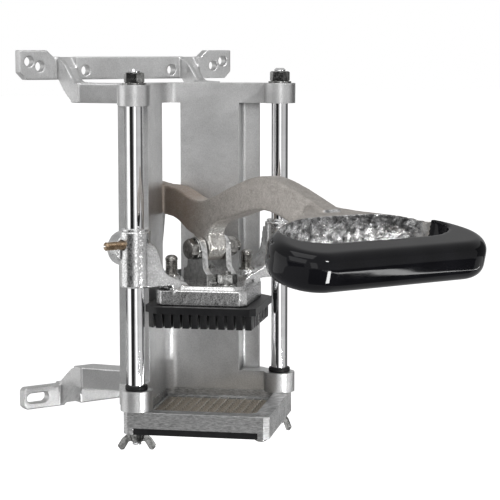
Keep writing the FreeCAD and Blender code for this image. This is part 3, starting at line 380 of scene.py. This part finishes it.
def machined_metal():
    """Milled aluminium that has been wiped for years: mottled, with short scratches."""
    g = Graph("machined_base")
    scratches = g.noise(520.0, 6.0, 0.7, g.stretched((0.15, 0.5, 2.0)))
    stains = g.noise(60.0, 6.0, 0.7)
    stain_tone = g.ramp(stains, (0.4, 0.32), (0.6, 0.70))
    scratch_tone = g.ramp(scratches, (0.36, 0.20), (0.64, 0.84))
    g.colour(g.mix(stain_tone, scratch_tone, 0.65))
    g.gloss(g.ramp(stains, (0.35, 0.42), (0.7, 0.26)))
    g.bump((stains, 0.06), (scratches, 0.03))
    return g.material


def polished_rod():
    """Ground and polished bar with the faintest turning marks."""
    g = Graph("polished_rod")
    marks = g.noise(60.0, 3.0, 0.6, g.stretched((0.05, 0.05, 1.0)))
    g.colour(g.ramp(marks, (0.35, (0.80, 0.80, 0.81)), (0.65, (0.88, 0.88, 0.89))))
    g.gloss(g.ramp(marks, (0.35, 0.045), (0.65, 0.075)))
    return g.material


def plated_steel(name, light, dark, roughness, mark_mm=0.03):
    """Small hardware: plating with a slightly uneven sheen and handling marks."""
    g = Graph(name)
    sheen = g.noise(220.0, 4.0, 0.6)
    marks = g.noise(900.0, 2.0, 0.5)
    g.colour(g.ramp(sheen, (0.3, dark), (0.7, light)))
    g.gloss(g.ramp(marks, (0.35, roughness + 0.1), (0.65, roughness - 0.05)))
    g.bump((marks, mark_mm))
    return g.material


def lever_metal():
    """Rough warm-grey casting, brown along the tail, burnished round the pivot and in the handle."""
    g = Graph("lever_iron", metallic=0.9)
    sand = g.noise(1100.0, 3.0, 0.7)
    lumps = g.noise(140.0, 4.0, 0.6)
    sand_tone = g.ramp(sand, (0.32, (0.21, 0.19, 0.17)), (0.5, (0.45, 0.42, 0.39)),
                       (0.72, (0.84, 0.80, 0.77)))
    lump_tone = g.ramp(lumps, (0.3, (0.34, 0.315, 0.29)), (0.7, (0.58, 0.55, 0.52)))
    bare = g.mix(lump_tone, sand_tone, 0.5)
    brown = g.mix(bare, (0.27, 0.20, 0.15), 0.62)
    burnished = g.ramp(sand, (0.42, (0.30, 0.28, 0.25)), (0.56, (0.97, 0.96, 0.93)))
    crackled = g.ramp(lumps, (0.38, 0.16), (0.62, 0.66))

    tail = g.near(TAIL_AT, 25.0, 75.0)
    pivot = g.near(PIVOT_AT, 16.0, 24.0)
    hollow = g.mix(0.0, g.near(HANDLE_AT, 112.0, 122.0), g.facing(TO_USER, 0.45, 0.7))

    tone = g.mix(bare, brown, tail)
    tone = g.mix(tone, burnished, pivot)
    g.colour(g.mix(tone, crackled, hollow))
    rough = g.ramp(sand, (0.3, 0.62), (0.7, 0.38))
    rough = g.mix(rough, g.ramp(sand, (0.4, 0.42), (0.6, 0.16)), pivot)
    g.gloss(g.mix(rough, g.ramp(sand, (0.4, 0.36), (0.6, 0.2)), hollow))
    g.bump((lumps, 0.35), (g.cells(320.0), 0.10), (sand, 0.22))
    return g.material


def black_vinyl():
    """Thick glossy dip with a slow waviness."""
    g = Graph("black_vinyl", metallic=0.0, shine=0.2)
    waves = g.noise(28.0, 1.0, 0.4)
    haze = g.noise(300.0, 3.0, 0.6)
    g.colour(g.ramp(waves, (0.3, (0.004, 0.004, 0.005)), (0.7, (0.008, 0.008, 0.010))))
    g.gloss(g.ramp(haze, (0.3, 0.035), (0.7, 0.06)))
    g.bump((waves, 0.25))
    return g.material


def black_moulding(name, roughness, grain_mm):
    """Satin black plastic or rubber with a fine moulded grain."""
    g = Graph(name, metallic=0.0, shine=0.3)
    grain = g.noise(1 / (grain_mm * MM), 3.0, 0.6)
    dust = g.noise(90.0, 5.0, 0.7)
    g.colour(g.ramp(dust, (0.35, (0.004, 0.004, 0.005)), (0.75, (0.012, 0.012, 0.013))))
    g.gloss(g.ramp(grain, (0.3, roughness + 0.1), (0.7, roughness - 0.08)))
    g.bump((grain, 0.03))
    return g.material


def blade_steel():
    """Thin stainless strip, ground along its length, with painted shade darkening it down between its
    neighbours.
    """
    g = Graph("blade_steel")
    grind = g.noise(700.0, 4.0, 0.6, g.stretched((1.0, 1.0, 6.0)))
    tone = g.ramp(grind, (0.3, (0.78, 0.73, 0.66)), (0.7, (0.98, 0.95, 0.90)))
    # Painted shade: ambient occlusion, counting the neighbouring blades too, turns the colour nearly black
    # down between the strips.
    clear = g.ramp(g.open_air(8.0, own_corners_only=False), (0.35, 0.0), (0.6, 1.0))
    g.colour(g.mix((0.02, 0.017, 0.014), tone, clear))
    g.gloss(g.ramp(grind, (0.3, 0.34), (0.7, 0.2)))
    g.bump((grind, 0.01))
    return g.material


def brass():
    """Dull brass with brown tarnish."""
    g = Graph("brass_screw")
    tarnish = g.noise(320.0, 4.0, 0.65)
    g.colour(g.ramp(tarnish, (0.35, (0.15, 0.10, 0.06)), (0.65, (0.44, 0.34, 0.24))))
    g.gloss(g.ramp(tarnish, (0.3, 0.42), (0.7, 0.22)))
    g.bump((tarnish, 0.04))
    return g.material


def make_materials():
    """One material for each slot of the record."""
    return {
        "cast_frame": cast_metal("cast_frame", light=0.76, dark=0.50, roughness=0.38,
                                 grain_mm=1.1, depth_mm=0.07, dent_mm=0.15),
        "head_alloy": cast_metal("head_alloy", light=0.97, dark=0.34, roughness=0.22,
                                 grain_mm=1.8, depth_mm=0.12, dent_mm=0.35),
        "machined_base": machined_metal(),
        "polished_rod": polished_rod(),
        "lever_iron": lever_metal(),
        "zinc": plated_steel("zinc", (0.56, 0.56, 0.55), (0.10, 0.10, 0.095), 0.14),
        "clevis_steel": plated_steel("clevis_steel", (0.98, 0.98, 0.97), (0.50, 0.50, 0.50), 0.10, 0.10),
        "dark_steel": plated_steel("dark_steel", (0.46, 0.45, 0.43), (0.12, 0.115, 0.11), 0.15),
        "blade_steel": blade_steel(),
        "brass_screw": brass(),
        "black_plastic": black_moulding("black_plastic", roughness=0.38, grain_mm=0.8),
        "black_rubber": black_moulding("black_rubber", roughness=0.5, grain_mm=0.5),
        "black_vinyl": black_vinyl(),
    }


# ---------------------------------------------------------------- pieces that keep the CAD outline
def dress(piece, slot):
    piece.data.materials.clear()
    piece.data.materials.append(MATERIALS[slot])


def stand_in(node, mesh):
    """Turn a bmesh into the piece that shows in place of a CAD node."""
    data = bpy.data.meshes.new(f"{node}_piece")
    mesh.to_mesh(data)
    mesh.free()
    piece = bpy.data.objects.new(f"{node}_piece", data)
    SCENE.collection.objects.link(piece)
    dress(piece, SLOT_OF[node])
    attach(piece, BODY_OF[node])
    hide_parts(node)
    return piece


def welded(node):
    """A bmesh of a CAD node with its split corners joined."""
    mesh = bmesh.new()
    mesh.from_mesh(NODES[node].data)
    bmesh.ops.remove_doubles(mesh, verts=mesh.verts, dist=0.002 * MM)
    return mesh


def smooth_by_angle(piece, degrees):
    for polygon in piece.data.polygons:
        polygon.use_smooth = True
    piece.data.set_sharp_from_angle(angle=math.radians(degrees))


def rounded(node, width_mm):
    """The CAD shape with every corner rounded, as a casting or a plated part has."""
    mesh = welded(node)
    bmesh.ops.dissolve_limit(mesh, angle_limit=math.radians(0.6), verts=mesh.verts, edges=mesh.edges)
    piece = stand_in(node, mesh)
    bevel = piece.modifiers.new("round", "BEVEL")
    bevel.width = width_mm * MM
    bevel.segments = 2
    bevel.limit_method = "ANGLE"
    bevel.angle_limit = math.radians(28.0)
    bevel.miter_outer = "MITER_ARC"
    bevel.harden_normals = True
    smooth_by_angle(piece, 40.0)


def cast_soft(node, voxel_mm, passes):
    """The CAD shape remeshed and relaxed, so that its parts run into each other with cast fillets."""
    piece = stand_in(node, welded(node))
    remesh = piece.modifiers.new("skin", "REMESH")
    remesh.mode = "VOXEL"
    remesh.voxel_size = voxel_mm * MM
    remesh.use_smooth_shade = True
    relax = piece.modifiers.new("relax", "SMOOTH")
    relax.factor = 0.5
    relax.iterations = passes
    return piece


def baked(piece):
    """Replace a piece's mesh by what its modifiers make of it."""
    bpy.context.view_layer.update()
    seen = piece.evaluated_get(bpy.context.evaluated_depsgraph_get())
    piece.data = bpy.data.meshes.new_from_object(seen)
    piece.modifiers.clear()


def sand_cast(node, voxel_mm, passes, depth_at):
    """A soft casting whose skin is pitted by the sand, to a depth in millimetres that varies over it."""
    creases_per_mm, grains_per_mm = 0.07, 0.45
    piece = cast_soft(node, voxel_mm, passes)
    baked(piece)
    normals = [vertex.normal.copy() for vertex in piece.data.vertices]
    for vertex, normal in zip(piece.data.vertices, normals):
        point = vertex.co / MM
        crease = noise.turbulence(point * creases_per_mm, 4, True)
        grain = noise.noise(point * grains_per_mm) * 0.5 + 0.5
        vertex.co -= normal * (crease * 0.8 + grain * 0.2) * depth_at(point, normal) * MM


def lever_pitting(point, normal):
    """Deep on the handle's hollow back wall, which faces the user; slight everywhere else."""
    front, back = -455.0, -395.0
    slight, deeper = 0.45, 2.4
    if not front < point.y < back:
        return slight
    facing_user = min(1.0, max(0.0, (-normal.y - 0.4) / 0.4))
    return slight + deeper * facing_user


# ---------------------------------------------------------------- turned and threaded stacks
SIDES = 72                          # corners of every ring
COARSE, FINE = 1.75, 1.25           # thread pitches


def plain_rings(*levels):
    """Round stations: each level is a height and a radius."""
    return [(height, [radius] * SIDES) for height, radius in levels]


def thread_rings(radius, pitch, low, high):
    """A helical thread cut into a cylinder, running out at both ends."""
    depth, steps_per_turn = pitch * 0.55, 6
    count = max(6, round((high - low) / pitch * steps_per_turn))
    rings = []
    for step in range(count + 1):
        height = low + (high - low) * step / count
        fade = min(1.0, step / 3, (count - step) / 3)
        phases = [(height / pitch - side / SIDES) % 1.0 for side in range(SIDES)]
        rings.append((height, [radius - depth * fade * abs(2 * phase - 1) for phase in phases]))
    return rings


def hex_rings(across_flats, low, high, crowned_low=False):
    """A hexagon whose corners are turned off at the top, and at the bottom too if asked."""
    half = across_flats / 2
    corner = half / math.cos(math.radians(30))
    rim = half * 0.97
    steps, crown = 4, (corner - rim) * 0.6
    outline = []
    for side in range(SIDES):
        turn = (side / SIDES * 360.0) % 60.0 - 30.0
        outline.append(half / math.cos(math.radians(turn)))
    top = [(high - crown + crown * step / steps, step / steps) for step in range(steps + 1)]
    if crowned_low:
        bottom = [(low + crown - crown * step / steps, step / steps) for step in range(steps, -1, -1)]
    else:
        bottom = [(low, 0.0)]
    rings = []
    for height, cut_back in bottom + top:
        limit = corner - (corner - rim) * cut_back
        rings.append((height, [min(radius, limit) for radius in outline]))
    return rings


def washer_rings(low, high, hole, outer, low_edge=0.2, high_edge=0.2):
    """A flat ring with broken edges, for a bored stack."""
    slope = 0.3
    return plain_rings((low, hole), (low, outer - low_edge), (low + slope, outer), (high - slope, outer),
                       (high, outer - high_edge), (high, hole))


def nut_rings(across_flats, low, high, hole):
    """A hex nut crowned at both ends, for a bored stack."""
    rings = plain_rings((low, hole))
    rings += hex_rings(across_flats, low, high, crowned_low=True)
    return rings + plain_rings((high, hole))


def threaded_end(radius, pitch, low, tip, blunt_length, blunt_depth):
    """The last stretch of a bolt or stud, from where its thread starts to its blunted tip."""
    rings = plain_rings((low, radius))
    rings += thread_rings(radius, pitch, low + 0.2, tip - blunt_length - 0.1)
    return rings + plain_rings((tip - blunt_length, radius), (tip, radius - blunt_depth))


def lathe(mesh, rings, place, bored=False):
    """Skin a stack of rings about the Z axis of "place"; a bored stack ends inside where it began."""
    rows = []
    for height, radii in rings:
        row = []
        for side, radius in enumerate(radii):
            angle = math.tau * side / SIDES
            point = Vector((radius * math.cos(angle), radius * math.sin(angle), height)) * MM
            row.append(mesh.verts.new(place @ point))
        rows.append(row)
    pairs = list(zip(rows, rows[1:]))
    if bored:
        pairs.append((rows[-1], rows[0]))
    else:
        mesh.faces.new(list(reversed(rows[0])))
        mesh.faces.new(rows[-1])
    for low, high in pairs:
        for side in range(SIDES):
            after = (side + 1) % SIDES
            mesh.faces.new((low[side], low[after], high[after], high[side]))


def upright(x, y, turn=0.0):
    """Keeps a stack's heights along +Z, turned about its own axis."""
    return Matrix.Translation(Vector((x, y, 0.0)) * MM) @ Matrix.Rotation(math.radians(turn), 4, "Z")


def along_x(x, y, z):
    """Turns a stack so that its heights run along +X from a point."""
    return Matrix.Translation(Vector((x, y, z)) * MM) @ Matrix.Rotation(math.radians(90), 4, "Y")


def against_x(x, y, z):
    """Turns a stack so that its heights run along -X from a point."""
    return along_x(x, y, z) @ Matrix.Rotation(math.pi, 4, "Y")


def turned(node, *stacks):
    """A piece made of lathe stacks; each stack is its rings, its place and whether it is bored."""
    mesh = bmesh.new()
    for stack in stacks:
        lathe(mesh, *stack)
    piece = stand_in(node, mesh)
    smooth_by_angle(piece, 35.0)
    return piece


def carve(piece, cutter):
    """Cut a bmesh out of a piece."""
    data = bpy.data.meshes.new("cutter")
    cutter.to_mesh(data)
    cutter.free()
    tool = bpy.data.objects.new("cutter", data)
    SCENE.collection.objects.link(tool)
    carving = piece.modifiers.new("carve", "BOOLEAN")
    carving.operation = "DIFFERENCE"
    carving.object = tool
    baked(piece)
    bpy.data.objects.remove(tool)


# ---------------------------------------------------------------- turned and threaded pieces
ROD_X, ROD_Y = 92.0, -176.0
PIVOT_Z = -187.0
LOCK_SCREW_Z = -178.0
ANCHOR_Y, ANCHOR_Z = -45.0, -240.0
BLOCK_TOP = -223.5
PUSH_THREAD_FOOT = -250.7
PUSH_SCREW_X, PUSH_STUD_OFFSET = 48.0, 34.5


def guide_rods():
    """Polished shafts with threads where the nuts and wing nuts sit."""
    foot, wing_thread_top, shoulder = -389.7, -372.0, -352.8
    neck, nut_thread_low, nut_thread_high, top = -35.0, -11.5, 1.2, 3.3
    wing_radius, shaft, nut_radius, edge = 4.8, 9.0, 6.3, 0.3
    for node, x in (("guide_rod_left", -ROD_X), ("guide_rod_right", ROD_X)):
        rings = plain_rings((foot, wing_radius - 0.9), (foot + 0.9, wing_radius))
        rings += thread_rings(wing_radius, FINE, foot + 1.1, wing_thread_top)
        rings += plain_rings((wing_thread_top + 0.2, wing_radius), (shoulder, wing_radius),
                             (shoulder, shaft - edge), (shoulder + edge, shaft), (neck, shaft),
                             (neck + edge, shaft - edge), (neck + edge, nut_radius),
                             (nut_thread_low - 0.5, nut_radius))
        rings += thread_rings(nut_radius, COARSE, nut_thread_low, nut_thread_high)
        rings += plain_rings((nut_thread_high + 0.1, nut_radius), (top, nut_radius - 2.0))
        turned(node, (rings, upright(x, ROD_Y)))


def rod_nuts():
    turn = 12.0
    nut = nut_rings(19.0, -11.0, -0.2, 6.35)
    turned("rod_nuts", *[(nut, upright(x, ROD_Y, turn), True) for x in (-ROD_X, ROD_X)])


def lock_screw():
    """Brass screw with a coarse thread and a driver slot in its outer end."""
    length, radius, pitch = 24.0, 4.5, 2.1
    boss_face = -ROD_X - 12.2
    tip = boss_face - length
    slot_depth, slot_length, slot_width = 4.8, 11.0, 1.6
    rings = plain_rings((0.0, radius - 0.9), (0.9, radius - 0.1)) + thread_rings(radius, pitch, 1.2, length)
    piece = turned("lock_screw", (rings, along_x(tip, ROD_Y, LOCK_SCREW_Z)))
    blade = bmesh.new()
    bmesh.ops.create_cube(blade, size=1.0)
    size = Matrix.Diagonal((slot_depth * MM, slot_length * MM, slot_width * MM, 1))
    place = Matrix.Translation(Vector((tip, ROD_Y, LOCK_SCREW_Z)) * MM)
    bmesh.ops.transform(blade, matrix=place @ size, verts=blade.verts)
    carve(piece, blade)


def push_screws():
    """Tall dark screws: a washer collar, a ribbed body and a domed end."""
    seat, stem, body, collar, edge = -213.5, 4.0, 6.7, 8.5, 0.2
    collar_top, body_top, dome = seat + 1.6, seat + 17.0, 4.9
    rings = plain_rings((PUSH_THREAD_FOOT, stem), (seat, stem), (seat, collar - edge), (seat + 0.3, collar),
                        (seat + 1.3, collar), (collar_top, collar - 0.3), (collar_top, body))
    rings += thread_rings(body, COARSE, collar_top + 0.2, body_top)
    for step in range(9):
        rise = math.radians(step * 10)
        radius = body * math.cos(rise) + 0.2 * math.sin(rise)
        rings += plain_rings((body_top + 0.1 + dome * math.sin(rise), radius))
    turned("push_screws", *[(rings, upright(x, ROD_Y)) for x in (-PUSH_SCREW_X, PUSH_SCREW_X)])


def push_studs():
    """Studs with a washer and a nut at the front and back of the block."""
    radius = 4.0
    washer_top, nut_top, tip = BLOCK_TOP + 1.5, BLOCK_TOP + 11.5, BLOCK_TOP + 14.5
    stud = plain_rings((PUSH_THREAD_FOOT, radius)) + threaded_end(radius, FINE, nut_top, tip, 0.8, 0.8)
    washer = washer_rings(BLOCK_TOP, washer_top, radius, 10.5, high_edge=0.3)
    nut = nut_rings(18.0, washer_top, nut_top, radius)
    stacks = []
    for y, turn in ((ROD_Y - PUSH_STUD_OFFSET, 25.0), (ROD_Y + PUSH_STUD_OFFSET, 0.0)):
        stacks += [(stud, upright(0, y, turn)), (washer, upright(0, y), True),
                   (nut, upright(0, y, turn), True)]
    turned("push_studs", *stacks)


def pivot_hardware():
    """Bolt through the clevis with a crowned head, washers and a crowned nut."""
    ear, washer_thickness, across = 18.5, 2.0, 19.0
    radius, hole = 6.0, 6.05
    face = ear + washer_thickness
    centre = along_x(0, ROD_Y, PIVOT_Z)
    head = hex_rings(across, 0.0, 7.5)
    shank = plain_rings((-face, radius)) + threaded_end(radius, COARSE, face + 9.0, face + 17.0, 0.9, 1.0)
    turned("pivot_bolt", (head, against_x(-face, ROD_Y, PIVOT_Z)), (shank, centre))
    lows = (-face, ear)
    turned("pivot_washers", *[(washer_rings(low, low + washer_thickness, hole, 12.0), centre, True)
                              for low in lows])
    turned("pivot_nut", (nut_rings(across, face, face + 10.5, hole), centre, True))


def anchor_hardware():
    """The link's bolt and nut behind the column."""
    lug, across = 18.7, 16.0
    radius, hole = 5.0, 5.05
    centre = along_x(0, ANCHOR_Y, ANCHOR_Z)
    head = hex_rings(across, 0.0, 6.4)
    shank = plain_rings((-lug, radius)) + threaded_end(radius, FINE, lug + 8.0, lug + 12.0, 0.7, 0.7)
    turned("anchor_bolt", (head, against_x(-lug, ANCHOR_Y, ANCHOR_Z)), (shank, centre))
    turned("anchor_nut", (nut_rings(across, lug, lug + 8.0, hole), centre, True))


# ---------------------------------------------------------------- put it together
# How far each piece's corners are rounded, in millimetres.
ROUNDING = {
    "column_casting": 1.6, "clevis_bracket": 0.8, "base_plate": 0.5, "blade_cartridge": 0.5,
    "blade_strips": 0.4, "corner_stud": 0.4, "rod_washers": 0.3, "bump_collars": 1.2,
    "upper_bushes": 0.5, "lower_bushes": 0.3, "clevis_screws": 0.4, "push_block": 0.35,
    "link_plates": 0.5, "link_pin": 0.4, "link_spacer": 0.4,
}
# The remeshed pieces: voxel size in millimetres and smoothing passes.
SOFTENING = {
    "upper_wall_bracket": (1.0, 3), "lower_wall_bracket": (1.0, 3), "head_casting": (1.0, 3),
    "wing_nut_left": (0.4, 5), "wing_nut_right": (0.4, 5), "vinyl_grip": (1.2, 18),
}

MATERIALS = make_materials()
camera()
studio()

for node_name, width in ROUNDING.items():
    rounded(node_name, width)
for node_name, (voxel, smoothing) in SOFTENING.items():
    cast_soft(node_name, voxel, smoothing)
sand_cast("lever_casting", 1.2, 8, lever_pitting)
guide_rods()
rod_nuts()
lock_screw()
push_screws()
push_studs()
pivot_hardware()
anchor_hardware()
for node_name in ("long_blades", "cross_blades"):
    dress(NODES[node_name], SLOT_OF[node_name])
    smooth_by_angle(NODES[node_name], 30.0)

SCENE.view_settings.view_transform = "Standard"
bpy.context.view_layer.update()
